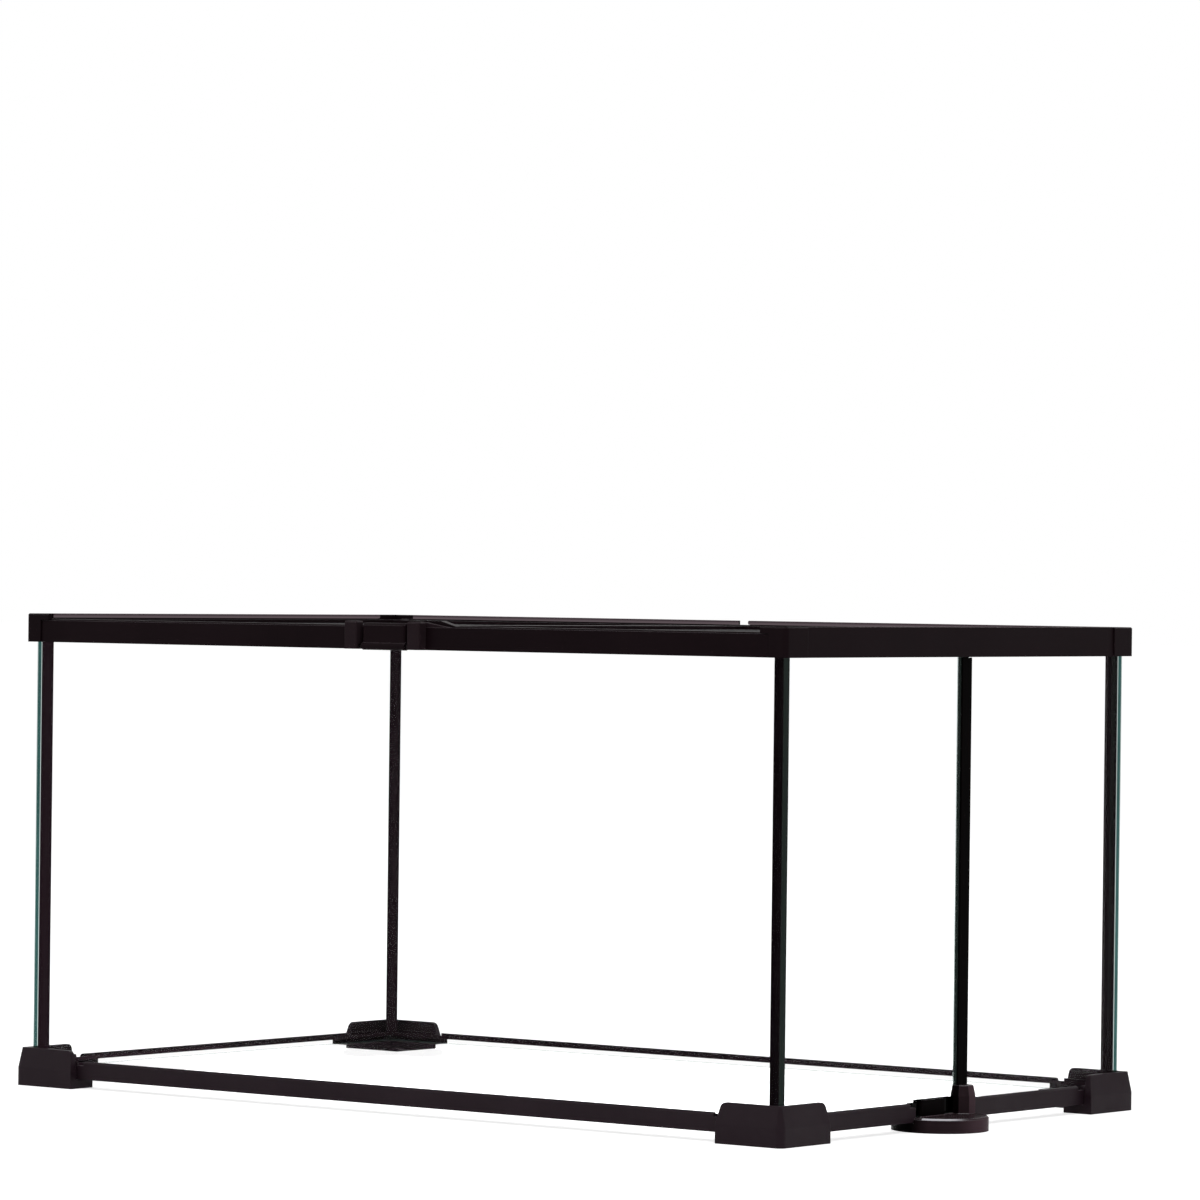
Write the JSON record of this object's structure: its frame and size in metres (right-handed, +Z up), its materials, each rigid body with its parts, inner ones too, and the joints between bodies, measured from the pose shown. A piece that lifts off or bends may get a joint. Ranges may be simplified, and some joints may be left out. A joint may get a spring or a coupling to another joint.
{
  "type": "glass aquarium tank",
  "caption": "Low rectangular glass tank with black plastic base and top frames, corner feet, a round side foot with a post, two hinged mesh lids and a front latch.",
  "frame": {"origin": "middle of the glass box's footprint, on the plane that the feet stand on", "axes": "+X along the tank's length to its right end (the end with the round side foot), +Y from the front with the latch to the back with the hinges, +Z up"},
  "size_m": [0.5244, 0.3083, 0.25],
  "materials": {
    "glass": "clear, polished",
    "silicone": "smooth, slightly glossy",
    "frame_plastic": "satin black moulded plastic",
    "foot_plastic": "matte black moulded plastic",
    "gloss_plastic": "smooth black moulded plastic",
    "mesh": "black woven wire",
    "pin_steel": "plain steel"
  },
  "bodies": {
    "tank": {"floor_glass": "glass", "front_glass": "glass", "back_glass": "glass", "left_glass": "glass", "right_front_glass": "glass", "right_rear_glass": "glass", "corner_silicone": "silicone", "floor_silicone": "silicone", "front_bottom_rail": "frame_plastic", "back_bottom_rail": "frame_plastic", "left_bottom_rail": "frame_plastic", "right_front_bottom_rail": "frame_plastic", "right_rear_bottom_rail": "frame_plastic", "front_left_foot": "foot_plastic", "front_right_foot": "foot_plastic", "back_left_foot": "foot_plastic", "back_right_foot": "foot_plastic", "side_foot": "gloss_plastic", "side_post": "frame_plastic", "front_top_rail": "frame_plastic", "back_top_rail": "frame_plastic", "left_top_rail": "frame_plastic", "right_top_rail": "frame_plastic", "front_left_cap": "frame_plastic", "front_right_cap": "frame_plastic", "back_left_cap": "frame_plastic", "back_right_cap": "frame_plastic", "cross_bar": "frame_plastic", "left_hinge_bracket": "frame_plastic", "right_hinge_bracket": "frame_plastic", "middle_hinge_bracket": "frame_plastic", "hinge_pins": "pin_steel", "lock_housing": "frame_plastic", "lock_pin": "pin_steel"},
    "left_lid": {"left_lid_frame": "frame_plastic", "left_lid_mesh": "mesh"},
    "right_lid": {"right_lid_frame": "frame_plastic", "right_lid_mesh": "mesh"},
    "latch": {"lock_flap": "frame_plastic"}
  },
  "joints": [
    {"name": "left_lid_hinge", "type": "hinge", "parent": "tank", "child": "left_lid", "pos_m": [0, 0.143, 0.2456], "axis": [-1, 0, 0], "range_deg": [0, 95]},
    {"name": "right_lid_hinge", "type": "hinge", "parent": "tank", "child": "right_lid", "pos_m": [0, 0.143, 0.2456], "axis": [-1, 0, 0], "range_deg": [0, 95]},
    {"name": "latch_hinge", "type": "hinge", "parent": "tank", "child": "latch", "pos_m": [0, -0.1524, 0.2366], "axis": [1, 0, 0], "range_deg": [0, 90]}
  ]
}
